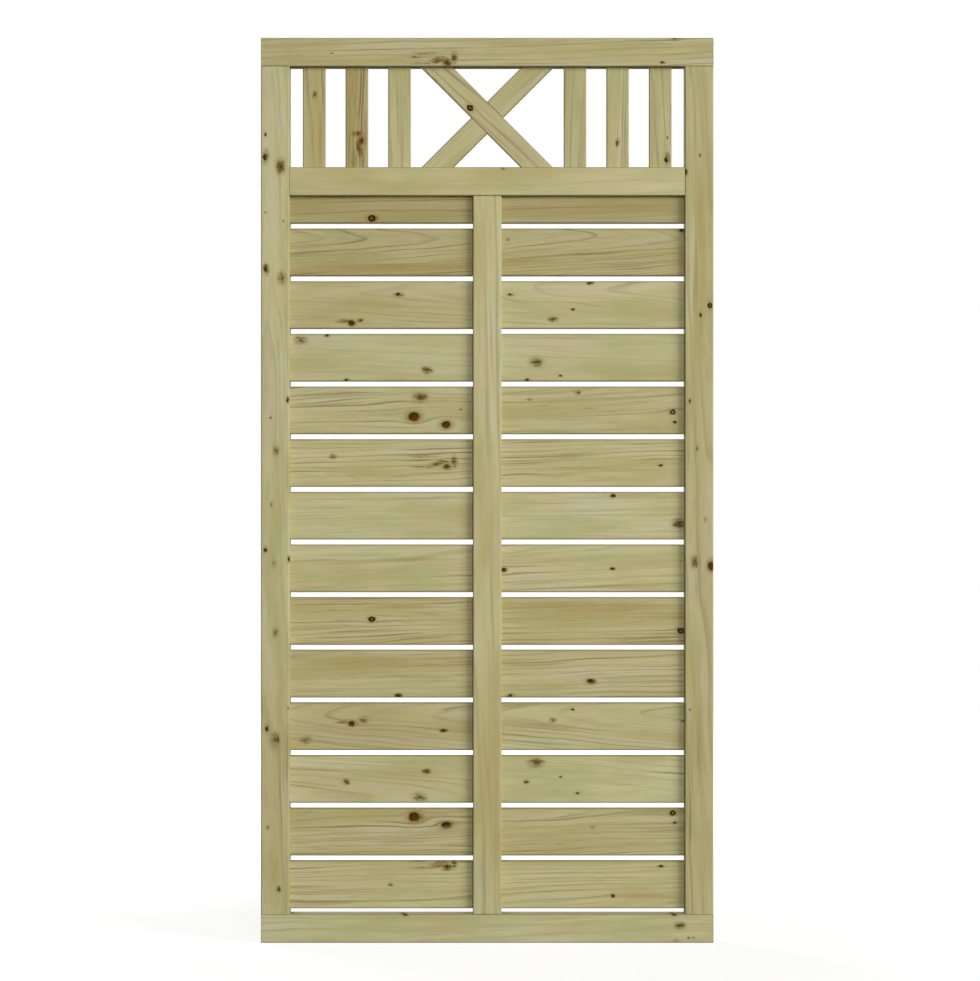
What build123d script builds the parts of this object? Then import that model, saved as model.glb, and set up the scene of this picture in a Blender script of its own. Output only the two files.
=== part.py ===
from build123d import *
import os
from math import floor, radians, sin, tan

# Privacy fence panel of pressure-treated pine. A frame of grooved timber holds spaced boards, clasped
# between two upright battens, and above the mid rail a lattice of balusters beside a diagonal cross.
# Millimetres, +Z up, +X to the right seen from the front, front faces towards -Y. The origin is at the
# bottom centre of the panel, in the middle of its depth.

# Overall size
PANEL_WIDTH = 900.0
PANEL_HEIGHT = 1800.0

# Frame timber: both stiles and all three rails have this section
FRAME_FACE = 57.0
FRAME_DEPTH = 45.0
FRAME_EASED_EDGE = 3.0

# Joinery: infill and stub tenons share one groove in the middle of the frame's depth
GROOVE_DEPTH = 12.0
GROOVE_PLAY = 0.2
END_PLAY = 0.8
TENON_SET_BACK = 8.0

# Boards of the lower field, laid up from the bottom rail
BOARD_WIDTH = 95.0
BOARD_THICKNESS = 16.0
BOARD_GAP = 10.0
BOARD_EASED_EDGE = 2.5
NARROWEST_TOP_BOARD = 30.0

# Upright battens that clasp the boards, one on each face
BATTEN_WIDTH = 57.0
BATTEN_END_PLAY = 0.2

# Lattice between the top rail and the mid rail
LATTICE_HEIGHT = 200.0
BALUSTER_WIDTH = 45.0
BALUSTER_GAP = 40.0
BRACE_WIDTH = 45.0
BRACE_ANGLE = 45.0
CROSS_SIDE_GAP = 20.7
HALVING_PLAY = 0.1

# One straight screw at every frame corner, its slim cylinder head flush
SCREW_LENGTH = 110.0
SCREW_RADIUS = 4.0
DRIVE_RADIUS = 2.4
DRIVE_DEPTH = 3.0

# Wire staples, driven from the back until the crown is flush
STAPLE_CROWN = 12.0
STAPLE_WIRE = 1.6
STAPLE_COVER = 4.5
PILOT_PLAY = 0.1

# Places that follow from the sizes above
half_width = PANEL_WIDTH / 2
half_opening = half_width - FRAME_FACE
stile_x = half_width - FRAME_FACE / 2
stile_length = PANEL_HEIGHT - 2 * FRAME_FACE
bottom_rail_top = FRAME_FACE
top_rail_bottom = PANEL_HEIGHT - FRAME_FACE
mid_rail_top = top_rail_bottom - LATTICE_HEIGHT
mid_rail_bottom = mid_rail_top - FRAME_FACE
back_face = FRAME_DEPTH / 2
infill_back = BOARD_THICKNESS / 2
groove_width = BOARD_THICKNESS + 2 * GROOVE_PLAY
seat_depth = GROOVE_DEPTH - END_PLAY
tenon_width = FRAME_FACE - GROOVE_DEPTH - TENON_SET_BACK
tenon_x = half_width - TENON_SET_BACK - tenon_width / 2
mid_rail_z = mid_rail_bottom + FRAME_FACE / 2
staple_inset = GROOVE_DEPTH / 2

# Turns a length of timber from upright to lying along X, its +X edge facing down
LYING = Rot(0, 90, 0)

# Turns a staple's crown from lying along X to upright
CROWN_UPRIGHT = Rot(0, 0, 90)


def planed_timber(length, face, thickness, eased_edge):
    """A planed length of timber, upright on the origin's centre, with its four long edges eased."""
    return extrude(RectangleRounded(face, thickness, eased_edge), amount=length / 2, both=True)


def frame_timber(length):
    return planed_timber(length, FRAME_FACE, FRAME_DEPTH, FRAME_EASED_EDGE)


def infill_timber(length, width):
    return planed_timber(length, width, BOARD_THICKNESS, BOARD_EASED_EDGE)


def edge_groove(length):
    """What is ploughed out of the +X edge of upright frame timber."""
    return Pos(X=FRAME_FACE / 2 - GROOVE_DEPTH / 2) * Box(GROOVE_DEPTH, groove_width, length)


# Fasteners: each points along -Z from its flush head, and play opens the same form into its pilot hole


def screw_form(play=0.0):
    return extrude(Circle(SCREW_RADIUS + play), amount=-SCREW_LENGTH - play)


def frame_screw():
    drive_socket = extrude(RegularPolygon(DRIVE_RADIUS, 6), amount=-DRIVE_DEPTH)
    return screw_form() - drive_socket


def staple(length, play=0.0):
    """A square wire bent to a crown and two legs."""
    wire = STAPLE_WIRE + play
    from_top = (Align.CENTER, Align.MAX)
    outside = Rectangle(STAPLE_CROWN + 2 * play, length + play, align=from_top)
    between_legs = Rectangle(STAPLE_CROWN - 2 * wire, length + play, align=from_top)
    outline = outside - Pos(Y=-wire) * between_legs
    return extrude(Plane.XZ * outline, amount=wire / 2, both=True)


def batten_staple(play=0.0):
    """Goes through the rear batten and a board and stops inside the front batten."""
    return staple(FRAME_DEPTH - STAPLE_COVER, play)


def groove_staple(play=0.0):
    """Goes through the rear cheek of a groove and stops inside what sits in it."""
    return staple(back_face + infill_back - STAPLE_COVER, play)


def on_back(x, z):
    """A place on the panel's back face, where a fastener points forwards."""
    return Pos(x, back_face, z) * Rot(-90, 0, 0)


# Boards: full ones at an even pitch, then one ripped to reach into the mid rail's groove
board_pitch = BOARD_WIDTH + BOARD_GAP
lower_opening = mid_rail_bottom - bottom_rail_top
full_boards = floor((lower_opening - BOARD_GAP - NARROWEST_TOP_BOARD) / board_pitch)
board_spans = []
for row in range(full_boards):
    board_low = bottom_rail_top + BOARD_GAP + row * board_pitch
    board_spans.append((board_low, board_low + BOARD_WIDTH))
top_board_low = bottom_rail_top + BOARD_GAP + full_boards * board_pitch
board_spans.append((top_board_low, mid_rail_bottom + seat_depth))

# Lattice: a diagonal cross in the middle bay, balusters spaced out from it towards each stile
brace_run = tan(radians(90 - BRACE_ANGLE))
cross_width = LATTICE_HEIGHT * brace_run + BRACE_WIDTH / sin(radians(BRACE_ANGLE))
cross_bay = cross_width + 2 * CROSS_SIDE_GAP
baluster_pitch = BALUSTER_WIDTH + BALUSTER_GAP
balusters_a_side = floor((half_opening - cross_bay / 2 + BALUSTER_GAP) / baluster_pitch)
inner_baluster = cross_bay / 2 + BALUSTER_WIDTH / 2
baluster_offsets = [inner_baluster + step * baluster_pitch for step in range(balusters_a_side)]
lattice_z = mid_rail_top + LATTICE_HEIGHT / 2
lattice_length = LATTICE_HEIGHT + 2 * seat_depth

# Where every fastener goes
sides = (-1, 1)
top_corner_places = [Pos(side * tenon_x, 0, PANEL_HEIGHT) for side in sides]
bottom_corner_places = [Pos(side * tenon_x, 0, 0) * Rot(180, 0, 0) for side in sides]
tenon_staple_x = half_opening + staple_inset
mid_rail_places = [on_back(side * tenon_staple_x, mid_rail_z) * CROWN_UPRIGHT for side in sides]
board_centres = [(low + min(high, mid_rail_bottom)) / 2 for low, high in board_spans]
batten_places = [on_back(0, centre) for centre in board_centres]
brace_end_x = (LATTICE_HEIGHT / 2 + staple_inset) * brace_run
lattice_places = []
for end_z in (mid_rail_top - staple_inset, top_rail_bottom + staple_inset):
    for offset in baluster_offsets + [brace_end_x]:
        lattice_places += [on_back(side * offset, end_z) for side in sides]


def set_at(places, form):
    return [place * form for place in places]


pilot_holes = set_at(top_corner_places + bottom_corner_places, screw_form(PILOT_PLAY))
pilot_holes += set_at(batten_places, batten_staple(PILOT_PLAY))
pilot_holes += set_at(mid_rail_places + lattice_places, groove_staple(PILOT_PLAY))


def drilled(piece):
    """The piece with the pilot holes that reach into it."""
    box = piece.bounding_box()
    reaching = [hole for hole in pilot_holes if hole.bounding_box().overlaps(box)]
    return piece - reaching if reaching else piece


# Frame


def stile():
    """An upright with a stub tenon at each end, its inner edge grooved and facing +X."""
    timber = frame_timber(stile_length) - edge_groove(stile_length)
    tenon_place = FRAME_FACE / 2 - GROOVE_DEPTH - tenon_width / 2
    for end in sides:
        tenon_z = end * (stile_length + seat_depth) / 2
        timber += Pos(tenon_place, 0, tenon_z) * Box(tenon_width, BOARD_THICKNESS, seat_depth)
    return timber


def top_rail():
    """A rail over the stiles, its stopped groove taking their tenons and the lattice."""
    groove_length = PANEL_WIDTH - 2 * (TENON_SET_BACK - GROOVE_PLAY)
    timber = frame_timber(PANEL_WIDTH) - edge_groove(groove_length)
    return Pos(Z=PANEL_HEIGHT - FRAME_FACE / 2) * LYING * timber


def bottom_rail():
    """A rail under the stiles with a blind mortise for each tenon, so that no groove holds water."""
    rail = Pos(Z=FRAME_FACE / 2) * LYING * frame_timber(PANEL_WIDTH)
    mortise = Box(tenon_width + 2 * GROOVE_PLAY, groove_width, GROOVE_DEPTH)
    for side in sides:
        rail -= Pos(side * tenon_x, 0, bottom_rail_top - GROOVE_DEPTH / 2) * mortise
    return rail


def mid_rail():
    """A rail between the stiles, grooved on both edges, with a stub tenon at each end."""
    shoulder_length = 2 * half_opening
    groove = edge_groove(shoulder_length)
    timber = frame_timber(shoulder_length) - groove - Rot(0, 0, 180) * groove
    tenon_height = FRAME_FACE - 2 * GROOVE_DEPTH
    for end in sides:
        tenon_z = end * (shoulder_length + seat_depth) / 2
        timber += Pos(Z=tenon_z) * Box(tenon_height, BOARD_THICKNESS, seat_depth)
    return Pos(Z=mid_rail_z) * LYING * timber


# Infill


def board(low, high):
    length = 2 * (half_opening + seat_depth)
    return Pos(Z=(low + high) / 2) * LYING * infill_timber(length, high - low)


def batten(face):
    """An upright strip between the boards and the frame's front (-1) or back (1) face."""
    thickness = back_face - infill_back
    length = lower_opening - 2 * BATTEN_END_PLAY
    strip = planed_timber(length, BATTEN_WIDTH, thickness, FRAME_EASED_EDGE)
    return Pos(0, face * (infill_back + thickness / 2), bottom_rail_top + lower_opening / 2) * strip


def baluster(x):
    return Pos(x, 0, lattice_z) * infill_timber(lattice_length, BALUSTER_WIDTH)


def brace(lean, notched_face):
    """A diagonal of the cross, halved over the other on its front (-1) or back (1)."""
    turn = Rot(0, lean * (90 - BRACE_ANGLE), 0)
    bar_length = (lattice_length + BRACE_WIDTH * 2) / sin(radians(BRACE_ANGLE))
    between_grooves = Box(PANEL_WIDTH, FRAME_DEPTH, lattice_length)
    notch_width = BRACE_WIDTH + 2 * HALVING_PLAY
    notch = Box(notch_width, infill_back, bar_length)
    halving = Rot(0, -lean * (90 - BRACE_ANGLE), 0) * Pos(Y=notched_face * infill_back / 2) * notch
    bar = turn * infill_timber(bar_length, BRACE_WIDTH) & between_grooves
    return Pos(Z=lattice_z) * (bar - halving)


def wooden_pieces():
    """Every piece of timber by name, drilled for its fasteners."""
    upright = Pos(-stile_x, 0, PANEL_HEIGHT / 2) * stile()
    pieces = {
        "left_stile": upright,
        "right_stile": Rot(0, 0, 180) * upright,
        "top_rail": top_rail(),
        "mid_rail": mid_rail(),
        "bottom_rail": bottom_rail(),
        "front_batten": batten(-1),
        "rear_batten": batten(1),
        "falling_brace": brace(-1, 1),
        "rising_brace": brace(1, -1),
    }
    for number, span in enumerate(board_spans, start=1):
        pieces[f"board_{number:02d}"] = board(*span)
    for number, offset in enumerate(baluster_offsets, start=1):
        pieces[f"left_baluster_{number}"] = baluster(-offset)
        pieces[f"right_baluster_{number}"] = baluster(offset)
    return {name: drilled(piece) for name, piece in pieces.items()}


def fastener_groups():
    """Identical fasteners, grouped by what they hold."""
    return {
        "top_corner_screws": set_at(top_corner_places, frame_screw()),
        "bottom_corner_screws": set_at(bottom_corner_places, frame_screw()),
        "mid_rail_staples": set_at(mid_rail_places, groove_staple()),
        "batten_staples": set_at(batten_places, batten_staple()),
        "lattice_staples": set_at(lattice_places, groove_staple()),
    }


os.makedirs("parts", exist_ok=True)
for name, piece in wooden_pieces().items():
    export_step(piece, f"parts/{name}.step")
for name, group in fastener_groups().items():
    export_step(Compound(children=group), f"parts/{name}.step")
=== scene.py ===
from collections import namedtuple
from math import cos, radians, sin

import bmesh
import bpy
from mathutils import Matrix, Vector


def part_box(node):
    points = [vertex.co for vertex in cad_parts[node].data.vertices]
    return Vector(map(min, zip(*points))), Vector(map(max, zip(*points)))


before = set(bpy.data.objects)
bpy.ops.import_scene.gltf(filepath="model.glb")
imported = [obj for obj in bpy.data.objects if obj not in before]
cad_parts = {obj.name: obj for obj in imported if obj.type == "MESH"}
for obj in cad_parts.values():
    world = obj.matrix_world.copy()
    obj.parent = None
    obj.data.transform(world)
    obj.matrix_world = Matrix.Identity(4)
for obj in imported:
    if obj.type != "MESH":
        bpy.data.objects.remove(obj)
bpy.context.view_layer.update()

# The panel stands upright on the floor with its front face towards -Y. The frame is in metres, and
# timbers are measured in mm here.
MM_PER_METRE = 1000.0
BRACE_WIDTH = 45.0

# Camera: straight on, so far off that only a sliver of the frame's inner faces shows. Its place is in
# metres, its lens and sensor in mm.
CAMERA_PLACE = (0.0056, -6.7725, 0.8997)
CAMERA_LENS = 124.57
CAMERA_SENSOR = 36.0

# Studio: a broad soft light from the upper right, a weak one behind the camera, one for the back,
# and a pale floor that turns to plain white away from the panel. Places and sizes are in metres.
# The floor is paler to the camera than to the panel, so that it throws little light back up.
LIGHTS = {
    "key_light": {"place": (11.8, -9.4, 4.6), "size": 8.8, "power": 2000.0},
    "fill_light": {"place": (1.2, -12.0, 4.1), "size": 4.2, "power": 645.0},
    "back_light": {"place": (-3.4, 4.8, 1.6), "size": 3.0, "power": 320.0},
}
LIGHTS_AIM = (0.0, 0.0, 0.9)
ROOM_LIGHT = 0.14
FLOOR_SIZE = 14.0
FLOOR_GLOW_NEAR = 0.80
FLOOR_SHADOW_REACH = (0.7, 2.2)
FLOOR_TO_CAMERA = "#959593"
FLOOR_TO_PANEL = "#484846"
WHITE = (1.0, 1.0, 1.0, 1.0)

# Directions that a timber's grain runs in, as turns about Y from the level, in degrees.
LEVEL = 0.0
UPRIGHT = 90.0
FALLING = -45.0
RISING = 45.0


def linear(hex_colour):
    """An sRGB hex colour as the linear colour that shaders work in."""
    shares = [int(hex_colour[i:i + 2], 16) / 255 for i in (1, 3, 5)]
    return [s / 12.92 if s <= 0.04045 else ((s + 0.055) / 1.055) ** 2.4 for s in shares] + [1.0]


def add(tree, kind, inputs=(), **settings):
    """Adds a node, gives it its settings, fills or links its inputs, and returns its outputs.

    Inputs go by name or by number. Of a MapRange 0 is the value, 1 and 2 the span it comes from and
    3 and 4 the span it goes to; of a Mix 0 is the share and 6 and 7 are the two colours.
    """
    node = tree.nodes.new(kind if kind.startswith("NodeGroup") else "ShaderNode" + kind)
    for name, value in settings.items():
        setattr(node, name, value)
    for socket, value in dict(inputs).items():
        if isinstance(value, bpy.types.NodeSocket):
            tree.links.new(value, node.inputs[socket])
        else:
            node.inputs[socket].default_value = value
    return node.outputs


def new_group(name, inputs, outputs):
    """An empty node group with these sockets, and the sockets that bring its inputs in."""
    tree = bpy.data.node_groups.new(name, "ShaderNodeTree")
    for side, sockets in (("INPUT", inputs), ("OUTPUT", outputs)):
        for socket, kind in sockets.items():
            tree.interface.new_socket(socket, in_out=side, socket_type="NodeSocket" + kind)
    return tree, add(tree, "NodeGroupInput")


def new_material(name):
    """An empty material, and its tree of nodes."""
    material = bpy.data.materials.new(name)
    material.use_nodes = True
    material.node_tree.nodes.clear()
    return material, material.node_tree


# Pressure-treated pine, planed. The salts turn the cream sapwood a pale grey green. Latewood shows
# as thin olive brown lines, bands that took less of the salts stay tan, and knots stay dark.
SAPWOOD = linear("#BCB78A")
PALE_PATCH = linear("#C0BA99")
GREEN_PATCH = linear("#A39E68")
COOL_PATCH = linear("#A7AD84")
ROSY_PATCH = linear("#BBA888")
TAN_BAND = linear("#A8935A")
LATEWOOD = linear("#756838")
RESIN_DASH = linear("#7A6636")
# Painted shade on the arrises, and the salts that soak into the sawn ends.
EDGE_SHADE_AND_SALTS = linear("#77703F")
KNOT_STAIN = linear("#554610")
KNOT_BLUSH = linear("#987632")
KNOT_DARK = linear("#2D2300")
KNOT_BROWN = linear("#5E3400")
KNOT_BARK = linear("#2A1A00")
KNOT_PALE = linear("#D2C79A")

# Patterns of the pine, drawn by noise: their size in mm along the grain, through the timber and
# across it, how much finer detail they have and how rough that is. Pine fibres are a few hundredths
# of a millimetre thick; they are drawn 2 mm thick so that they show.
Pattern = namedtuple("Pattern", "size detail roughness")
WOOD_PATTERNS = {
    "wander": Pattern((420, 55, 55), 2.0, 0.5),
    "quiver": Pattern((60, 25, 25), 1.0, 0.5),
    "salts": Pattern((260, 45, 45), 3.0, 0.55),
    "tint": Pattern((120, 17, 17), 2.0, 0.5),
    "fibre": Pattern((90, 2, 2), 3.0, 0.6),
    "resin": Pattern((50, 1.7, 1.7), 1.0, 0.5),
    "tongue": Pattern((22, 2.6, 2.6), 2.0, 0.6),
}

# Hair lines and bands follow the rings. Their size in mm is along the grain and out across the rings,
# and their spread says how far on in the pattern the next timber lies.
HAIR_LINE = (240, 3.0)
HAIR_SPREAD = 5.7
BAND = (800, 20)
BAND_SPREAD = 3.1

# How far on in the patterns of the wood the next timber lies, in mm.
LOG_SPACING = (731.0, 433.0, 619.0)

# Noise lies round its middle, mostly less than a third to each side, which the gain brings up to one.
# A span is two values of the noise, one where a look starts and one where it is full.
NOISE_MIDDLE = 0.5
NOISE_GAIN = 3.0
FIGURE_SPAN = (0.36, 0.6)
FIGURE_LEAST = 0.15
HAIR_SPAN = (0.55, 0.72)
RESIN_SPAN = (0.64, 0.76)
RESIN_STRENGTH = 0.6
TAN_SPAN = (0.38, 0.68)
TAN_STRENGTH = (0.35, 0.8)
FIBRE_SPAN = (0.25, 0.75)
FIBRE_TONE = (0.96, 1.05)

# Patches of the wood: the pattern that each follows, its span, how strong it gets and its colour.
Patch = namedtuple("Patch", "pattern start full strength colour")
PATCHES = [
    Patch("salts", 0.5, 0.7, 0.8, PALE_PATCH),
    Patch("salts", 0.55, 0.3, 0.7, GREEN_PATCH),
    Patch("tint", 0.48, 0.30, 0.42, COOL_PATCH),
    Patch("tint", 0.52, 0.70, 0.38, ROSY_PATCH),
]

# Latewood starts and peaks at these shares of a year's growth, on a rising curve, and years differ.
LATEWOOD_START = 0.6
LATEWOOD_PEAK = 0.94
LATEWOOD_CURVE = 2.0
YEAR_STRENGTH = (0.25, 1.4)

# How steeply a ring meets the face, from 0 for flat to 1 for upright: below this its line is weaker,
# and hair lines start and are full at these.
FLAT_RING = 0.4
FLAT_RING_STRENGTH = 0.5
HAIR_STEEP = (0.12, 0.45)

# Stain round a knot: how far the noise swings it, where its tongues start and are full, how near the
# knot they are strongest and how strong, and the even haze under them. Blush follows the fibres.
TONGUE_SWING = 1.3
TONGUE_SPAN = (0.55, 1.15)
TONGUE_NEAR = 0.4
TONGUE_STRENGTH = 0.6
STAIN_HAZE = 0.3
BLUSH_SPAN = (0.3, 0.65)
BLUSH_STRENGTH = (0.5, 1.15)

# Planed pine is matt. Its fibres stand up by a fraction of a millimetre, given in metres, and the
# latewood by a share of that.
PINE_ROUGHNESS = (0.58, 0.74)
PINE_SPECULAR = 0.05
PINE_RELIEF = 0.0004
PINE_RELIEF_STRENGTH = 0.35
LATEWOOD_RELIEF = 0.6

# Painted shade darkens the arrises, and salts soak in from the sawn ends: how far in mm across the
# face and into the edge, and how strongly each darkens. Rings show more on the ends.
BOARD_ARRIS_SHADE_REACH = (4.0, 12.0)
FRAME_ARRIS_SHADE_REACH = (2.6, 7.0)
ARRIS_EASED = 2.5
ARRIS_SHADE = 0.8
END_SOAK = 2.0
END_SALTS = 0.5
END_FIGURE = 1.6

# Shape of a knot in radii of its mark, along the grain, through the timber and across it. Each edge
# is given by where it starts and where it is full.
HEART_SHAPE = (0.85, 0.0, 1.0)
HEART_EDGE = (1.25, 0.75)
HEART_RINGS = 11.0
HEART_RING_PALE = 0.8
UPPER_SIDE = (-0.3, 0.0, 0.8)
UPPER_EDGE = (-0.6, 0.5)
UPPER_SHADE = (0.1, 1.4)
BARK_RIM = 0.95
BARK_EDGE = (0.55, 0.15)
EYE_CENTRE = (0.05, 0.0, 0.1)
EYE_EDGE = (0.7, 0.3)
STAIN_ACROSS = 0.9
STAIN_EDGE = (1.9, 0.3)
FLOW_SHAPE = (0.5, 0.0, 1.0)

# Directions in a timber: across its grain, and in its cross section.
ACROSS_GRAIN = (0.0, 0.0, 1.0)
CROSS_SECTION = (0.0, 1.0, 1.0)

# A branch leans by this much for each mm of depth, and its edge is ragged: how far and how coarsely,
# in mm.
BRANCH_LEAN = (0.30, 0.0, -0.16)
RAGGED_REACH = (6.0, 0.0, 5.0)
RAGGED_SIZE = 9

# Zinc coat of the fasteners: duller and brighter clouds of about a millimetre.
ZINC_DULL = linear("#8B9093")
ZINC_BRIGHT = linear("#C3C8C9")
ZINC_CLOUD = 1.2
ZINC_ROUGHNESS = (0.32, 0.58)

# Each kind of mark: its heart's size in radii, the length of its stain in radii, then how strong
# the brown stain, orange blush, dark heart, brown heart, bark ring, pale eye and parting of the
# grain round it are. Torn, tuft, barb and stroke are the parts of a torn knot. Shade is a soft brown
# haze, and streak and orange are long warm lines.
Mark = namedtuple("Mark", "core wing stain blush dark brown bark pale parting")
MARK_KINDS = {
    "pin": Mark(0.9, 2.0, 0.80, 0.10, 0.80, 0.40, 0.00, 0.0, 0.8),
    "dark": Mark(0.85, 2.2, 1.10, 0.15, 1.05, 0.15, 0.15, 0.0, 0.8),
    "red": Mark(0.85, 1.6, 0.65, 0.70, 0.65, 0.95, 0.30, 0.0, 1.0),
    "ringed": Mark(0.85, 1.8, 0.90, 0.30, 0.30, 0.60, 1.00, 0.0, 1.0),
    "eye": Mark(0.85, 2.0, 0.85, 0.25, 0.00, 0.40, 1.00, 1.0, 0.8),
    "winged": Mark(0.35, 1.7, 0.98, 0.36, 0.40, 0.45, 0.00, 0.0, 0.6),
    "torn": Mark(0.5, 1.6, 1.10, 0.55, 0.45, 0.75, 0.00, 0.0, 0.5),
    "tuft": Mark(0.3, 0.55, 1.00, 0.45, 0.15, 0.30, 0.00, 0.0, 0.2),
    "barb": Mark(0.1, 5.0, 0.98, 0.45, 0.00, 0.00, 0.00, 0.0, 0.0),
    "stroke": Mark(0.1, 12.0, 0.74, 0.20, 0.00, 0.00, 0.00, 0.0, 0.0),
    "faint": Mark(0.4, 1.8, 0.70, 0.15, 0.35, 0.40, 0.00, 0.0, 0.6),
    "shade": Mark(0.1, 6.0, 0.00, 0.26, 0.00, 0.00, 0.00, 0.0, 0.0),
    "streak": Mark(0.1, 20.0, 0.00, 0.30, 0.00, 0.00, 0.00, 0.0, 0.0),
    "orange": Mark(0.1, 20.0, 0.00, 0.42, 0.00, 0.00, 0.00, 0.0, 0.0),
}

# A torn knot: its heart, a dark tuft past it, and barbs and strokes that fan out to one side. Each
# part is given by its reach to that side, its rise across the grain and its radius, in mm.
TORN_KNOT = [
    (0, 0, 6.5, "torn"), (-14, 8, 10.0, "tuft"),
    (10, 9, 2.6, "barb"), (18, 4.5, 2.8, "barb"), (23, 0.5, 2.4, "barb"),
    (46, 18, 2.0, "stroke"), (54, 11, 2.0, "stroke"), (46, -2, 2.0, "stroke")]


def torn_knot(x, z, upright=False):
    """A torn knot that fans out to the left of a level timber, or down an upright one."""
    return [(x - rise, z - reach, radius, kind) if upright else (x - reach, z + rise, radius, kind)
            for reach, rise, radius, kind in TORN_KNOT]


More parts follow.
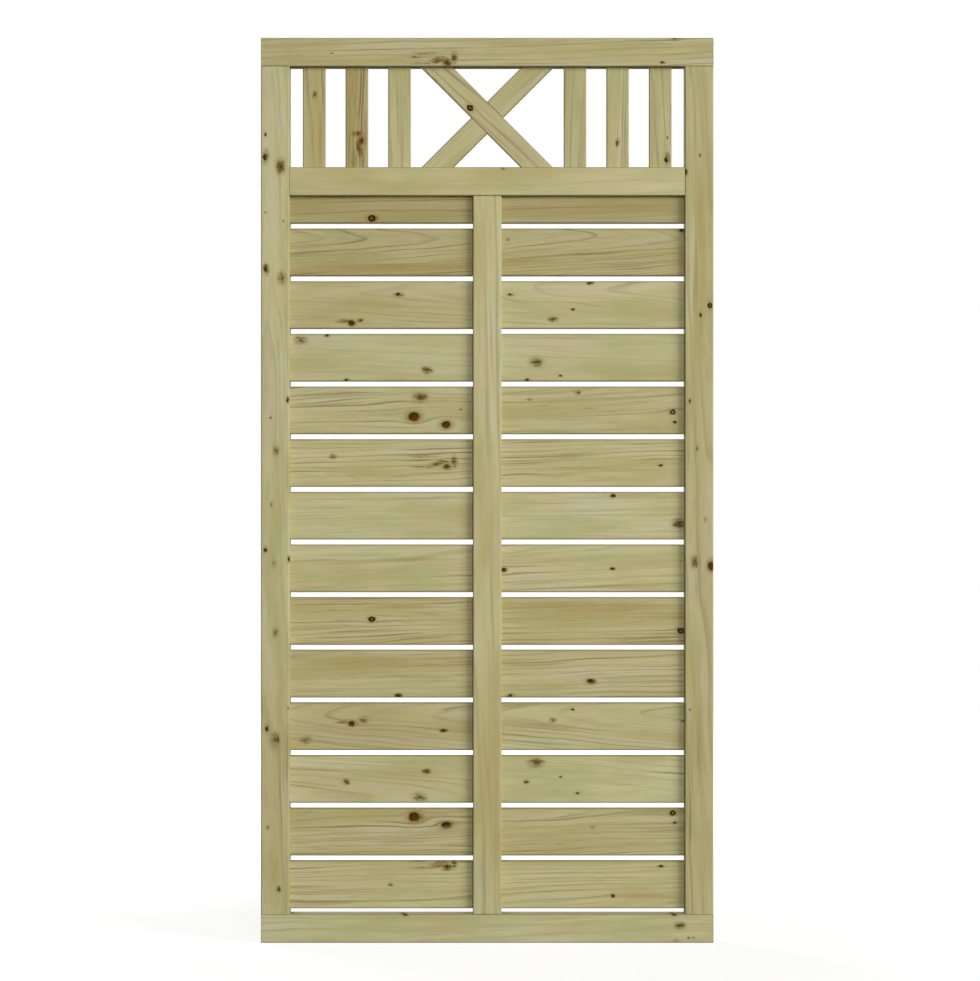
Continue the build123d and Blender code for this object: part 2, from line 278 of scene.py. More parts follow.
# Each timber: the way its grain runs, a seed, where the pith of its log lies from its own middle
# (behind, and across, in mm), the taper of its rings, their width in mm, how far they wander in mm,
# how strongly they show, how tan and how light it is, and its knots at x and z of the panel with
# their radius, all in mm.
Timber = namedtuple("Timber", "lie seed pith taper ring wander figure warm light knots")
TIMBERS = {
    "top_rail": Timber(LEVEL, 1, (40, 60), 0.02, 9.0, 5, 0.50, 0.40, 0.965, [
        (-309, 1769, 1.8, "pin"), (373, 1799, 3.5, "dark"), (348, 1751, 2.2, "dark"),
        (60, 1790, 5, "streak"), *torn_knot(-80, 1751)]),
    "mid_rail": Timber(LEVEL, 2, (70, 45), 0.01, 12.0, 5, 0.20, 0.35, 1.04, [
        (31, 1540, 2.5, "faint")]),
    "bottom_rail": Timber(LEVEL, 3, (55, -45), -0.02, 12.0, 6, 0.30, 0.15, 1.03, [
        (-162, 56, 3, "dark"), (373, 56, 3, "dark"), (383, 34, 6, "winged"),
        (401, 10, 2.4, "faint"), (410, 10, 2.2, "faint"), (375, 4, 3, "faint")]),
    "left_stile": Timber(UPRIGHT, 4, (50, 15), 0.02, 12.0, 6, 0.55, 0.30, 1.03, [
        (-441, 1608, 2.6, "red"), (-441, 1563, 6, "dark"), (-410, 1544, 8, "winged"),
        (-441, 1452, 1.5, "pin"), (-405, 1435, 1.7, "pin"), (-440, 1340, 5, "dark"),
        (-408, 1322, 7, "winged"), (-397, 1079, 3.4, "dark"), (-430, 1045, 2, "pin"),
        (-420, 978, 5, "winged"), (-429, 871, 3, "faint"), (-441, 782, 3.6, "red"),
        (-394, 764, 3.4, "dark"), (-424, 754, 4, "faint"), (-421, 617, 5, "winged"),
        (-396, 467, 1.8, "pin"), (-438, 426, 4, "dark"), (-421, 404, 8, "winged"),
        (-438, 229, 3, "faint"), (-414, 107, 4, "winged"), (-420, 330, 30, "shade")]),
    "right_stile": Timber(UPRIGHT, 5, (60, -40), -0.02, 11.0, 6, 0.55, 0.50, 0.965, [
        (424, 1566, 3, "faint"), (395, 1534, 3.6, "dark"), (425, 1368, 7, "streak"),
        (443, 1268, 4.4, "eye"), (424, 1249, 2.4, "dark"), (403, 1077, 2.6, "dark"),
        (417, 983, 3, "faint"), (434, 842, 3, "faint"), (413, 758, 7, "winged"),
        (446, 750, 8, "red"), (403, 464, 1.8, "pin"), (420, 374, 3, "streak")]),
    "front_batten": Timber(UPRIGHT, 6, (80, 40), 0.01, 12.0, 4, 0.35, 0.30, 1.05, [
        (6, 300, 30, "shade")]),
    "rear_batten": Timber(UPRIGHT, 7, (-70, -40), 0.02, 9.0, 5, 0.50, 0.45, 1.00, [
        (9, 1210, 3.4, "dark"), (-12, 640, 4, "red"), (14, 330, 2, "pin")]),
    "board_14": Timber(LEVEL, 8, (50, 70), 0.02, 8.0, 4, 0.50, 0.90, 0.875, [
        (-230, 1442, 6, "ringed"), (200, 1462, 9, "orange")]),
    "board_13": Timber(LEVEL, 9, (34, 30), 0.045, 4.6, 6, 0.70, 0.90, 0.935, [
        (41, 1400, 3, "faint"), (387, 1418, 3.6, "dark"), (-200, 1345, 5, "streak")]),
    "board_12": Timber(LEVEL, 10, (30, 30), -0.04, 7.0, 7, 0.38, 0.20, 1.02, [
        (-177, 1290, 4.4, "dark"), (-270, 1233, 6, "red"), (-252, 1239, 3.4, "winged"),
        (-286, 1237, 2.8, "barb"), (-240, 1262, 34, "shade"), (46, 1290, 3, "dark"),
        (171, 1261, 2.1, "dark"), (131, 1241, 5, "winged"), (205, 1313, 3.2, "dark")]),
    "board_11": Timber(LEVEL, 11, (60, -62), 0.03, 14.0, 7, 0.18, 0.25, 1.00, [
        (-120, 1139, 6, "winged"), (-319, 1208, 3, "dark"), (-372, 1199, 7, "winged"),
        (-281, 1120, 3, "dark"), (98, 1156, 8, "winged"), (146, 1128, 2.0, "dark"),
        (80, 1120, 3, "dark")]),
    "board_10": Timber(LEVEL, 12, (40, 55), 0.02, 11.0, 8, 0.65, 0.35, 1.01, [
        (-134, 1085, 8, "winged"), (-146, 1047, 10, "red"), (-82, 1031, 8, "red"),
        (-53, 1062, 1.6, "pin"), (180, 1095, 4, "winged"), (85, 1080, 3, "faint"),
        (370, 1056, 4.6, "eye"), (373, 1036, 2.4, "dark")]),
    "board_09": Timber(LEVEL, 13, (45, -60), -0.02, 7.0, 6, 0.70, 0.45, 1.06, [
        (-307, 968, 4, "winged"), (346, 950, 2.6, "dark"), (204, 943, 3, "streak"),
        *torn_knot(-80, 949)]),
    "board_08": Timber(LEVEL, 14, (60, 80), 0.01, 9.0, 4, 0.32, 0.15, 1.04, [
        (251, 889, 4, "red"), (310, 888, 4, "orange"), (382, 834, 8, "winged")]),
    "board_07": Timber(LEVEL, 15, (70, 60), 0.03, 12.0, 6, 0.55, 0.30, 1.06, [
        (-273, 771, 3, "streak"), (-136, 763, 3, "streak"), (33, 742, 5, "red"),
        (250, 744, 2.8, "dark"), (385, 758, 2, "faint")]),
    "board_06": Timber(LEVEL, 16, (35, -60), -0.02, 8.0, 5, 0.80, 0.70, 1.045, [
        (-230, 643, 5, "ringed"), (-167, 668, 3, "orange"), (386, 620, 5, "eye"),
        (210, 668, 8, "orange")]),
    "board_05": Timber(LEVEL, 17, (50, 60), 0.02, 8.0, 5, 0.60, 0.55, 1.04, [
        (-177, 491, 4, "dark"), (-230, 560, 10, "streak"), (206, 519, 5, "dark"),
        (46, 491, 3.4, "dark")]),
    "board_04": Timber(LEVEL, 18, (26, 22), -0.06, 6.5, 7, 0.65, 0.30, 1.01, [
        (-270, 435, 6, "red"), (-247, 442, 6, "winged"), (-286, 438, 2.8, "barb"),
        (-240, 420, 34, "shade"), (-87, 421, 3.4, "dark"), (-362, 402, 6, "winged"),
        (171, 463, 2.3, "dark"), (131, 442, 4, "winged"), (389, 440, 2.4, "faint")]),
    "board_03": Timber(LEVEL, 19, (65, -40), 0.04, 9.0, 7, 0.50, 0.00, 1.065, [
        (-120, 340, 5, "winged"), (-281, 319, 5, "winged"), (-220, 315, 28, "shade"),
        (-134, 289, 8, "winged"), (97, 357, 8, "winged"), (78, 319, 3.4, "winged"),
        (146, 329, 2.0, "dark"), (180, 296, 2.4, "dark")]),
    "board_02": Timber(LEVEL, 20, (42, 60), 0.02, 11.0, 8, 0.70, 0.60, 1.02, [
        (-145, 249, 10, "red"), (-82, 232, 8, "dark"), (370, 257, 4.6, "eye"),
        (374, 237, 2.6, "dark"), (210, 229, 3, "faint")]),
    "board_01": Timber(LEVEL, 21, (48, -60), -0.02, 7.0, 6, 0.65, 0.35, 1.07, [
        (-193, 115, 3.4, "faint"), (346, 151, 2.8, "dark"), (251, 92, 3.4, "red"),
        (300, 91, 4, "orange"), *torn_knot(-80, 150)]),
    "left_baluster_3": Timber(UPRIGHT, 22, (40, 30), 0.02, 8.0, 4, 0.60, 0.75, 0.95, [
        (-344, 1688, 4, "winged"), (-332, 1600, 3, "orange")]),
    "left_baluster_2": Timber(UPRIGHT, 23, (28, -26), 0.03, 6.0, 5, 0.90, 0.95, 0.895, [
        (-250, 1670, 3, "streak"), *torn_knot(-250, 1597, upright=True)]),
    "left_baluster_1": Timber(UPRIGHT, 24, (45, 30), 0.01, 9.0, 3, 0.65, 0.20, 1.00, []),
    "right_baluster_1": Timber(UPRIGHT, 25, (45, -32), 0.02, 9.0, 3, 0.55, 0.65, 0.95, []),
    "right_baluster_2": Timber(UPRIGHT, 26, (38, 30), -0.02, 8.0, 4, 0.55, 0.30, 0.98, [
        (259, 1593, 4, "winged")]),
    "right_baluster_3": Timber(UPRIGHT, 27, (42, 30), 0.02, 8.0, 4, 0.55, 0.15, 0.92, [
        (359, 1603, 1.8, "pin"), (358, 1559, 5.5, "dark")]),
    "falling_brace": Timber(FALLING, 28, (44, 30), 0.02, 8.0, 3, 0.55, 0.55, 0.97, [
        (-34, 1662, 5.5, "ringed")]),
    "rising_brace": Timber(RISING, 29, (50, -30), 0.02, 9.0, 3, 0.45, 0.45, 0.98, []),
}


def per_mm(size):
    """How often a pattern of this size in mm comes back in each millimetre."""
    return [1 / length for length in size]


def branch_knot_group():
    """One knot laid over those before it: how the grain parts round it, its stain, heart and bark."""
    tree, given = new_group(
        "branch_knot",
        {"Place": "Vector", "Centre": "Vector", "Radius": "Float", "Core": "Float", "Wing": "Float",
         "Stain": "Float", "Blush": "Float", "Dark": "Float", "Brown": "Float", "Bark": "Float",
         "Pale": "Float", "Parting": "Float", "Parted": "Float", "Beside": "Vector", "Within": "Vector"},
        {"Parted": "Float", "Beside": "Vector", "Within": "Vector"})
    away = add(tree, "VectorMath", {0: given["Place"], 1: given["Centre"]}, operation="SUBTRACT")[0]
    in_radii = add(tree, "Math", {0: 1.0, 1: given["Radius"]}, operation="DIVIDE")[0]
    away = add(tree, "VectorMath", {0: away, "Scale": in_radii}, operation="SCALE")[0]

    # A heart of fine rings, a little longer along the grain than across it, darker on its upper
    # side, in a thin ring of bark.
    oval = add(tree, "VectorMath", {0: away, 1: HEART_SHAPE}, operation="MULTIPLY")[0]
    reach = add(tree, "VectorMath", {0: oval}, operation="LENGTH")[1]
    reach = add(tree, "Math", {0: reach, 1: given["Core"]}, operation="DIVIDE")[0]
    start, full = HEART_EDGE
    heart = add(tree, "MapRange", {0: reach, 1: start, 2: full}, interpolation_type="SMOOTHSTEP")[0]
    rings = add(tree, "Math", {0: reach, 1: HEART_RINGS}, operation="MULTIPLY")[0]
    rings = add(tree, "Math", {0: rings}, operation="SINE")[0]
    rings = add(tree, "MapRange", {0: rings, 1: -1.0, 2: 1.0, 3: HEART_RING_PALE, 4: 1.0})[0]
    upper = add(tree, "VectorMath", {0: away, 1: UPPER_SIDE}, operation="DOT_PRODUCT")[1]
    start, full = UPPER_EDGE
    least, most = UPPER_SHADE
    upper = add(tree, "MapRange", {0: upper, 1: start, 2: full, 3: least, 4: most})[0]
    rings = add(tree, "Math", {0: rings, 1: upper}, operation="MULTIPLY")[0]
    dark = add(tree, "Math", {0: heart, 1: rings}, operation="MULTIPLY", use_clamp=True)[0]
    off_rim = add(tree, "Math", {0: reach, 1: BARK_RIM}, operation="SUBTRACT")[0]
    off_rim = add(tree, "Math", {0: off_rim}, operation="ABSOLUTE")[0]
    start, full = BARK_EDGE
    bark = add(tree, "MapRange", {0: off_rim, 1: start, 2: full}, interpolation_type="SMOOTHSTEP")[0]
    pale = add(tree, "VectorMath", {0: away, 1: EYE_CENTRE}, operation="DISTANCE")[1]
    start, full = EYE_EDGE
    pale = add(tree, "MapRange", {0: pale, 1: start, 2: full}, interpolation_type="SMOOTHSTEP")[0]

    # Stain runs off along the grain on both sides.
    wing = add(tree, "Math", {0: 1.0, 1: given["Wing"]}, operation="DIVIDE")[0]
    wing = add(tree, "CombineXYZ", {0: wing, 2: STAIN_ACROSS})[0]
    wing = add(tree, "VectorMath", {0: away, 1: wing}, operation="MULTIPLY")[0]
    wing = add(tree, "VectorMath", {0: wing}, operation="LENGTH")[1]
    start, full = STAIN_EDGE
    wing = add(tree, "MapRange", {0: wing, 1: start, 2: full}, interpolation_type="SMOOTHSTEP")[0]

    # The grain parts round the branch and closes again, as water does round a pile.
    flow = add(tree, "VectorMath", {0: away, 1: FLOW_SHAPE}, operation="MULTIPLY")[0]
    flow = add(tree, "VectorMath", {0: flow, 1: flow}, operation="DOT_PRODUCT")[1]
    flow = add(tree, "Math", {0: flow, 1: 1.0}, operation="MAXIMUM")[0]
    side = add(tree, "VectorMath", {0: away, 1: ACROSS_GRAIN}, operation="DOT_PRODUCT")[1]
    flow = add(tree, "Math", {0: side, 1: flow}, operation="DIVIDE")[0]
    flow = add(tree, "Math", {0: flow, 1: given["Radius"]}, operation="MULTIPLY")[0]
    parted = add(tree, "Math", {0: flow, 1: given["Parting"], 2: given["Parted"]},
                 operation="MULTIPLY_ADD")[0]

    beside = add(tree, "CombineXYZ", {0: wing, 1: wing, 2: pale})[0]
    strength = add(tree, "CombineXYZ", {0: given["Stain"], 1: given["Blush"], 2: given["Pale"]})[0]
    beside = add(tree, "VectorMath", {0: beside, 1: strength}, operation="MULTIPLY")[0]
    beside = add(tree, "VectorMath", {0: beside, 1: given["Beside"]}, operation="MAXIMUM")[0]
    within = add(tree, "CombineXYZ", {0: dark, 1: heart, 2: bark})[0]
    strength = add(tree, "CombineXYZ", {0: given["Dark"], 1: given["Brown"], 2: given["Bark"]})[0]
    within = add(tree, "VectorMath", {0: within, 1: strength}, operation="MULTIPLY")[0]
    within = add(tree, "VectorMath", {0: within, 1: given["Within"]}, operation="MAXIMUM")[0]
    add(tree, "NodeGroupOutput", {"Parted": parted, "Beside": beside, "Within": within})
    return tree


def pine_grain_group():
    """Rings of a round log cut by the faces of a timber, with fibre, bands, patches and knots."""
    tree, given = new_group(
        "pine_grain",
        {"Place": "Vector", "Pith": "Vector", "Seed": "Float", "Taper": "Float", "Ring": "Float",
         "Wander": "Float", "Figure": "Float", "Warm": "Float", "Light": "Float", "Edge": "Float",
         "Parted": "Float", "Beside": "Vector", "Within": "Vector"},
        {"Colour": "Color", "Roughness": "Float", "Height": "Float"})
    beside = add(tree, "SeparateXYZ", {0: given["Beside"]})
    within = add(tree, "SeparateXYZ", {0: given["Within"]})
    parted = add(tree, "CombineXYZ", {2: given["Parted"]})[0]
    grain_place = add(tree, "VectorMath", {0: given["Place"], 1: parted}, operation="SUBTRACT")[0]
    along = add(tree, "SeparateXYZ", {0: grain_place})[0]
    own_log = add(tree, "VectorMath", {0: LOG_SPACING, "Scale": given["Seed"]}, operation="SCALE")[0]
    own_log = add(tree, "VectorMath", {0: own_log, 1: grain_place}, operation="ADD")[0]

    noise = {}
    for name, pattern in WOOD_PATTERNS.items():
        at = add(tree, "VectorMath", {0: own_log, 1: per_mm(pattern.size)}, operation="MULTIPLY")[0]
        noise[name] = add(tree, "TexNoise", {
            "Vector": at, "Scale": 1.0, "Detail": pattern.detail, "Roughness": pattern.roughness})[0]

    # Growth rings lie round the pith. They wander over about 400 mm of length, and quiver a little
    # over 60 mm.
    wander = add(tree, "Math", {0: noise["wander"], 1: NOISE_MIDDLE}, operation="SUBTRACT")[0]
    wander = add(tree, "Math", {0: wander, 1: given["Wander"]}, operation="MULTIPLY")[0]
    wander = add(tree, "Math", {0: wander, 1: NOISE_GAIN, 2: noise["quiver"]},
                 operation="MULTIPLY_ADD")[0]
    out = add(tree, "VectorMath", {0: grain_place, 1: given["Pith"]}, operation="SUBTRACT")[0]
    out = add(tree, "VectorMath", {0: out, 1: CROSS_SECTION}, operation="MULTIPLY")[0]
    steep = add(tree, "VectorMath", {0: out}, operation="NORMALIZE")[0]
    steep = add(tree, "VectorMath", {0: steep}, operation="ABSOLUTE")[0]
    steep = add(tree, "SeparateXYZ", {0: steep})[2]
    out = add(tree, "VectorMath", {0: out}, operation="LENGTH")[1]
    out = add(tree, "Math", {0: out, 1: wander}, operation="ADD")[0]
    out = add(tree, "Math", {0: along, 1: given["Taper"], 2: out}, operation="MULTIPLY_ADD")[0]
    ring = add(tree, "Math", {0: out, 1: given["Ring"]}, operation="DIVIDE")[0]
    age = add(tree, "Math", {0: ring}, operation="FRACT")[0]
    year = add(tree, "Math", {0: ring}, operation="FLOOR")[0]
    year = add(tree, "Math", {0: year, 1: given["Seed"]}, operation="ADD")[0]

    # Latewood darkens towards the end of a year and stops short; some years are stronger.
    rise = add(tree, "MapRange", {0: age, 1: LATEWOOD_START, 2: LATEWOOD_PEAK},
               interpolation_type="SMOOTHSTEP")[0]
    rise = add(tree, "Math", {0: rise, 1: LATEWOOD_CURVE}, operation="POWER")[0]
    fall = add(tree, "MapRange", {0: age, 1: 1.0, 2: LATEWOOD_PEAK})[0]
    late = add(tree, "Math", {0: rise, 1: fall}, operation="MULTIPLY")[0]
    strong = add(tree, "TexWhiteNoise", {"W": year}, noise_dimensions="1D")[0]
    least, most = YEAR_STRENGTH
    strong = add(tree, "MapRange", {0: strong, 3: least, 4: most})[0]
    late = add(tree, "Math", {0: late, 1: strong}, operation="MULTIPLY")[0]
    start, full = FIGURE_SPAN
    shown = add(tree, "MapRange", {0: noise["salts"], 1: start, 2: full, 3: FIGURE_LEAST, 4: 1.0})[0]
    late = add(tree, "Math", {0: late, 1: shown}, operation="MULTIPLY")[0]
    late = add(tree, "Math", {0: late, 1: given["Figure"]}, operation="MULTIPLY", use_clamp=True)[0]

    # Where a ring lies nearly flat in the face its line would spread, so it is drawn weaker there.
    flat = add(tree, "MapRange", {0: steep, 2: FLAT_RING, 3: FLAT_RING_STRENGTH, 4: 1.0})[0]
    late = add(tree, "Math", {0: late, 1: flat}, operation="MULTIPLY")[0]

    # Hair lines and bands follow the rings, and dashes of resin the fibres.
    in_ring = add(tree, "CombineXYZ", {0: along, 1: out, 2: given["Seed"]})[0]
    hair_scale = (*per_mm(HAIR_LINE), HAIR_SPREAD)
    at = add(tree, "VectorMath", {0: in_ring, 1: hair_scale}, operation="MULTIPLY")[0]
    hair = add(tree, "TexNoise", {"Vector": at, "Scale": 1.0, "Detail": 1.0, "Roughness": 0.5})[0]
    start, full = HAIR_SPAN
    hair = add(tree, "MapRange", {0: hair, 1: start, 2: full})[0]
    hair = add(tree, "Math", {0: hair, 1: shown}, operation="MULTIPLY")[0]
    start, full = HAIR_STEEP
    cut = add(tree, "MapRange", {0: steep, 1: start, 2: full})[0]
    hair = add(tree, "Math", {0: hair, 1: cut}, operation="MULTIPLY")[0]
    hair = add(tree, "Math", {0: hair, 1: given["Figure"]}, operation="MULTIPLY", use_clamp=True)[0]
    band_scale = (*per_mm(BAND), BAND_SPREAD)
    at = add(tree, "VectorMath", {0: in_ring, 1: band_scale}, operation="MULTIPLY")[0]
    band = add(tree, "TexNoise", {"Vector": at, "Scale": 1.0, "Detail": 2.0, "Roughness": 0.5})[0]
    start, full = TAN_SPAN
    least, most = TAN_STRENGTH
    tan = add(tree, "MapRange", {0: band, 1: start, 2: full, 3: least, 4: most},
              interpolation_type="SMOOTHSTEP")[0]
    tan = add(tree, "Math", {0: tan, 1: given["Warm"]}, operation="MULTIPLY")[0]
    start, full = RESIN_SPAN
    dash = add(tree, "MapRange", {0: noise["resin"], 1: start, 2: full, 4: RESIN_STRENGTH})[0]
    dash = add(tree, "Math", {0: dash, 1: given["Figure"]}, operation="MULTIPLY")[0]

    # Patches lie under the lines, and over them the painted shade of the arrises and the salts of the
    # sawn ends. Fibres vary the tone.
    colour = SAPWOOD
    for patch in PATCHES:
        share = add(tree, "MapRange", {
            0: noise[patch.pattern], 1: patch.start, 2: patch.full, 4: patch.strength,
        }, interpolation_type="SMOOTHSTEP")[0]
        colour = add(tree, "Mix", {0: share, 6: colour, 7: patch.colour}, data_type="RGBA")[2]
    for share, line in ((tan, TAN_BAND), (late, LATEWOOD), (hair, LATEWOOD), (dash, RESIN_DASH),
                        (given["Edge"], EDGE_SHADE_AND_SALTS)):
        colour = add(tree, "Mix", {0: share, 6: colour, 7: line}, data_type="RGBA")[2]
    start, full = FIBRE_SPAN
    least, most = FIBRE_TONE
    tone = add(tree, "MapRange", {0: noise["fibre"], 1: start, 2: full, 3: least, 4: most})[0]
    tone = add(tree, "Math", {0: tone, 1: given["Light"]}, operation="MULTIPLY")[0]
    colour = add(tree, "VectorMath", {0: colour, "Scale": tone}, operation="SCALE")[0]

    # Stain breaks up into tongues along the parted grain, blush runs along the fibres, and heart,
    # bark and the pale eye are drawn over them.
    lined = add(tree, "MapRange", {0: noise["tongue"], 3: -TONGUE_SWING, 4: TONGUE_SWING})[0]
    tongue = add(tree, "Math", {0: lined, 1: beside[0]}, operation="ADD")[0]
    start, full = TONGUE_SPAN
    tongue = add(tree, "MapRange", {0: tongue, 1: start, 2: full}, interpolation_type="SMOOTHSTEP")[0]
    near = add(tree, "MapRange", {0: beside[0], 2: TONGUE_NEAR, 4: TONGUE_STRENGTH})[0]
    tongue = add(tree, "Math", {0: tongue, 1: near}, operation="MULTIPLY")[0]
    stain = add(tree, "Math", {0: beside[0], 1: STAIN_HAZE, 2: tongue}, operation="MULTIPLY_ADD",
                use_clamp=True)[0]
    start, full = BLUSH_SPAN
    least, most = BLUSH_STRENGTH
    streaked = add(tree, "MapRange", {0: noise["fibre"], 1: start, 2: full, 3: least, 4: most})[0]
    blush = add(tree, "Math", {0: beside[1], 1: streaked}, operation="MULTIPLY", use_clamp=True)[0]
    for share, layer in ((blush, KNOT_BLUSH), (stain, KNOT_STAIN), (within[1], KNOT_BROWN),
                         (within[0], KNOT_DARK), (within[2], KNOT_BARK), (beside[2], KNOT_PALE)):
        colour = add(tree, "Mix", {0: share, 6: colour, 7: layer}, data_type="RGBA")[2]

    start, full = FIBRE_SPAN
    smooth, rough = PINE_ROUGHNESS
    roughness = add(tree, "MapRange", {0: noise["fibre"], 1: start, 2: full, 3: smooth, 4: rough})[0]
    height = add(tree, "Math", {0: late, 1: LATEWOOD_RELIEF, 2: noise["fibre"]},
                 operation="MULTIPLY_ADD")[0]
    add(tree, "NodeGroupOutput", {"Colour": colour, "Roughness": roughness, "Height": height})
    return tree


def treated_pine(name, timber, front, knot_group, grain_group):
    """The pine of one timber, with its own log and knots, on the panel's own coordinates in mm."""
    material, tree = new_material("treated_pine_" + name)
    turn = radians(timber.lie)
    low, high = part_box(name)
    middle = (low + high) / 2 * MM_PER_METRE
    middle_along = middle.x * cos(turn) + middle.z * sin(turn)
    middle_across = middle.z * cos(turn) - middle.x * sin(turn)
    half = (high - low) / 2 * MM_PER_METRE

    # A brace lies askew in its box. Its ends are hidden in the grooves, so its length is taken long.
    half_width, half_length = {
        LEVEL: (half.z, half.x), UPRIGHT: (half.x, half.z),
    }.get(timber.lie, (BRACE_WIDTH / 2, half.x * 2))

    # Place is along the grain, through the timber and across it.
    panel = add(tree, "TexCoord")["Object"]
    place = add(tree, "Mapping", {
        "Vector": panel, "Rotation": (0.0, turn, 0.0), "Scale": [MM_PER_METRE] * 3})[0]

    # Branches lean, so a knot comes out at the back a little further along; its edge is ragged.
    depth = add(tree, "SeparateXYZ", {0: place})[1]
    depth = add(tree, "Math", {0: depth, 1: front}, operation="SUBTRACT")[0]
    lean = add(tree, "VectorMath", {0: BRANCH_LEAN, "Scale": depth}, operation="SCALE")[0]
    lean = add(tree, "VectorMath", {0: lean, 1: place}, operation="ADD")[0]
    ragged = add(tree, "TexNoise", {
        "Vector": place, "Scale": 1 / RAGGED_SIZE, "Detail": 3.0, "Roughness": 0.6})["Color"]
    ragged = add(tree, "VectorMath", {0: ragged, 1: [NOISE_MIDDLE] * 3}, operation="SUBTRACT")[0]
    ragged = add(tree, "VectorMath", {0: ragged, 1: RAGGED_REACH, 2: lean}, operation="MULTIPLY_ADD")[0]

    parted = 0.0
    beside = (0.0, 0.0, 0.0)
    within = (0.0, 0.0, 0.0)
    for x, z, radius, kind in timber.knots:
        mark = MARK_KINDS[kind]
        centre = (x * cos(turn) + z * sin(turn), 0.0, z * cos(turn) - x * sin(turn))
        laid = add(tree, "Group", {
            "Place": ragged, "Centre": centre, "Radius": radius, "Core": mark.core, "Wing": mark.wing,
            "Stain": mark.stain, "Blush": mark.blush, "Dark": mark.dark, "Brown": mark.brown,
            "Bark": mark.bark, "Pale": mark.pale, "Parting": mark.parting,
            "Parted": parted, "Beside": beside, "Within": within,
        }, node_tree=knot_group)
        parted = laid["Parted"]
        beside = laid["Beside"]
        within = laid["Within"]

    # Painted shade darkens the arrises, furthest in on the thin boards, and on an upright only its left
    # arris. Sawn ends soak up more of the salts.
    centre = (middle_along, middle.y, middle_across)
    from_middle = add(tree, "VectorMath", {0: place, 1: centre}, operation="SUBTRACT")[0]
    off_middle = add(tree, "VectorMath", {0: from_middle}, operation="ABSOLUTE")[0]
    shade_across = add(tree, "SeparateXYZ", {0: from_middle if timber.lie == UPRIGHT else off_middle})[2]
    off_middle = add(tree, "SeparateXYZ", {0: off_middle})
    shade_width, shade_depth = BOARD_ARRIS_SHADE_REACH if name.startswith("board") else FRAME_ARRIS_SHADE_REACH
    arris = add(tree, "MapRange", {0: shade_across, 1: half_width - shade_width, 2: half_width, 4: ARRIS_SHADE})[0]
    face = add(tree, "MapRange", {0: off_middle[1], 1: half.y - shade_depth, 2: half.y - ARRIS_EASED})[0]
    arris = add(tree, "Math", {0: arris, 1: face}, operation="MULTIPLY")[0]
    end = add(tree, "MapRange", {
        0: off_middle[0], 1: half_length - END_SOAK, 2: half_length, 4: END_SALTS})[0]
    edge = add(tree, "Math", {0: arris, 1: end}, operation="MAXIMUM")[0]

    # Rings show most on the sawn ends.
    figure = add(tree, "Math", {0: end, 1: END_FIGURE, 2: timber.figure}, operation="MULTIPLY_ADD")[0]
    behind, across = timber.pith
    grain = add(tree, "Group", {
        "Place": place, "Pith": (0.0, middle.y + behind, middle_across + across),
        "Seed": timber.seed, "Taper": timber.taper, "Ring": timber.ring, "Wander": timber.wander,
        "Figure": figure, "Warm": timber.warm, "Light": timber.light, "Edge": edge,
        "Parted": parted, "Beside": beside, "Within": within,
    }, node_tree=grain_group)
    bump = add(tree, "Bump", {
        "Strength": PINE_RELIEF_STRENGTH, "Distance": PINE_RELIEF, "Height": grain["Height"]})[0]
    surface = add(tree, "BsdfPrincipled", {
        "Base Color": grain["Colour"], "Roughness": grain["Roughness"], "Normal": bump,
        "Specular IOR Level": PINE_SPECULAR,
    })[0]
    add(tree, "OutputMaterial", {"Surface": surface})
    return material


def galvanised_steel():
    """Drawn wire and screws with a zinc coat: dull blue grey, cloudy at about a millimetre."""
    material, tree = new_material("galvanised_steel")
    panel = add(tree, "TexCoord")["Object"]
    clouds = MM_PER_METRE / ZINC_CLOUD
    cloud = add(tree, "TexNoise", {"Vector": panel, "Scale": clouds, "Detail": 3.0})[0]
    colour = add(tree, "Mix", {0: cloud, 6: ZINC_DULL, 7: ZINC_BRIGHT}, data_type="RGBA")[2]
    smooth, rough = ZINC_ROUGHNESS
    roughness = add(tree, "MapRange", {0: cloud, 3: smooth, 4: rough})[0]
    surface = add(tree, "BsdfPrincipled", {
        "Base Color": colour, "Roughness": roughness, "Metallic": 1.0})[0]
    add(tree, "OutputMaterial", {"Surface": surface})
    return material


def studio_white(tree):
    """Whether a ray comes straight from the camera, off a glossy face or through glass."""
    path = add(tree, "LightPath")
    seen = add(tree, "Math", {
        0: path["Is Camera Ray"], 1: path["Is Glossy Ray"]}, operation="MAXIMUM")[0]
    return add(tree, "Math", {0: seen, 1: path["Is Transmission Ray"]}, operation="MAXIMUM")[0]


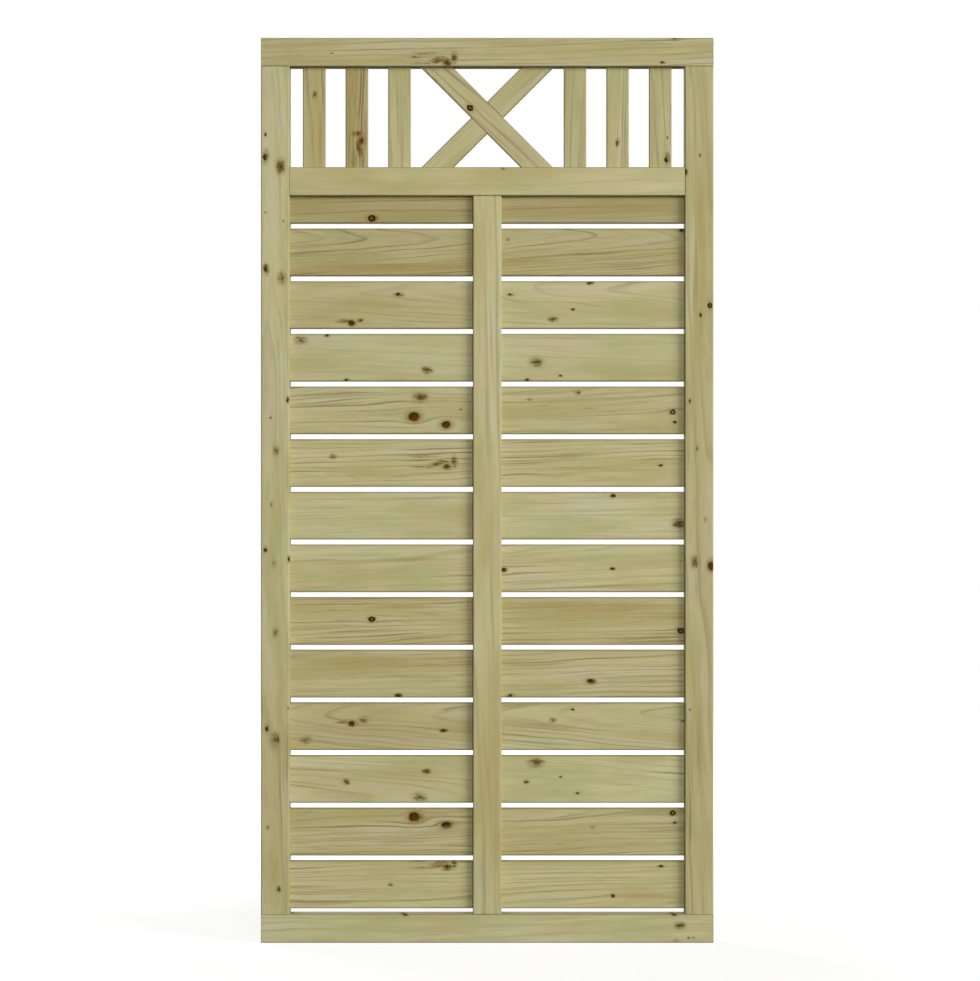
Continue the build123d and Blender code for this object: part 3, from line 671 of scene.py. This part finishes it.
def pale_floor():
    """Matt paper that glows up to white for the camera, so that only the panel's shadow greys it."""
    mesh = bpy.data.meshes.new("floor")
    shape = bmesh.new()
    bmesh.ops.create_grid(shape, x_segments=1, y_segments=1, size=FLOOR_SIZE / 2)
    shape.to_mesh(mesh)
    shape.free()
    floor = bpy.data.objects.new("floor", mesh)
    bpy.context.scene.collection.objects.link(floor)
    material, tree = new_material("white_paper_floor")
    seen = studio_white(tree)
    to_panel = linear(FLOOR_TO_PANEL)
    to_camera = linear(FLOOR_TO_CAMERA)
    matt = add(tree, "Mix", {0: seen, 6: to_panel, 7: to_camera}, data_type="RGBA")[2]
    matt = add(tree, "BsdfDiffuse", {"Color": matt})[0]
    away = add(tree, "TexCoord")["Object"]
    away = add(tree, "VectorMath", {0: away}, operation="LENGTH")[1]
    near, far = FLOOR_SHADOW_REACH
    glow = add(tree, "MapRange", {0: away, 1: near, 2: far, 3: FLOOR_GLOW_NEAR, 4: 1.0})[0]
    glow = add(tree, "Math", {0: glow, 1: seen}, operation="MULTIPLY")[0]
    glow = add(tree, "Emission", {"Color": WHITE, "Strength": glow})[0]
    surface = add(tree, "AddShader", {0: matt, 1: glow})[0]
    add(tree, "OutputMaterial", {"Surface": surface})
    mesh.materials.append(material)


def studio_room():
    """White all round to the camera, and a softer even light on the panel."""
    world = bpy.data.worlds.new("studio_room")
    bpy.context.scene.world = world
    world.use_nodes = True
    tree = world.node_tree
    tree.nodes.clear()
    strength = add(tree, "MapRange", {0: studio_white(tree), 3: ROOM_LIGHT, 4: 1.0})[0]
    light = add(tree, "Background", {"Color": WHITE, "Strength": strength})[0]
    add(tree, "OutputWorld", {"Surface": light})


def studio_lights():
    """Square soft lights, all turned towards the middle of the panel."""
    for name, facts in LIGHTS.items():
        lamp = bpy.data.lights.new(name, "AREA")
        lamp.size = facts["size"]
        lamp.energy = facts["power"]
        light = bpy.data.objects.new(name, lamp)
        light.location = facts["place"]
        towards = Vector(LIGHTS_AIM) - Vector(facts["place"])
        light.rotation_euler = towards.to_track_quat("-Z", "Y").to_euler()
        bpy.context.scene.collection.objects.link(light)


def photo_camera():
    """A level camera in front of the panel."""
    data = bpy.data.cameras.new("camera")
    data.lens = CAMERA_LENS
    data.sensor_width = CAMERA_SENSOR
    camera = bpy.data.objects.new("camera", data)
    camera.location = CAMERA_PLACE
    camera.rotation_euler = (radians(90.0), 0.0, 0.0)
    bpy.context.scene.collection.objects.link(camera)
    bpy.context.scene.camera = camera


def dress(name, material):
    """Gives a piece one finish all over."""
    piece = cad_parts[name]
    piece.data.materials.clear()
    piece.data.materials.append(material)


knot_group = branch_knot_group()
grain_group = pine_grain_group()
for name, timber in TIMBERS.items():
    low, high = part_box(name)
    dress(name, treated_pine(name, timber, low.y * MM_PER_METRE, knot_group, grain_group))
steel = galvanised_steel()
for name in sorted(set(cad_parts) - set(TIMBERS)):
    dress(name, steel)

pale_floor()
studio_room()
studio_lights()
photo_camera()
bpy.context.scene.view_settings.view_transform = "Standard"
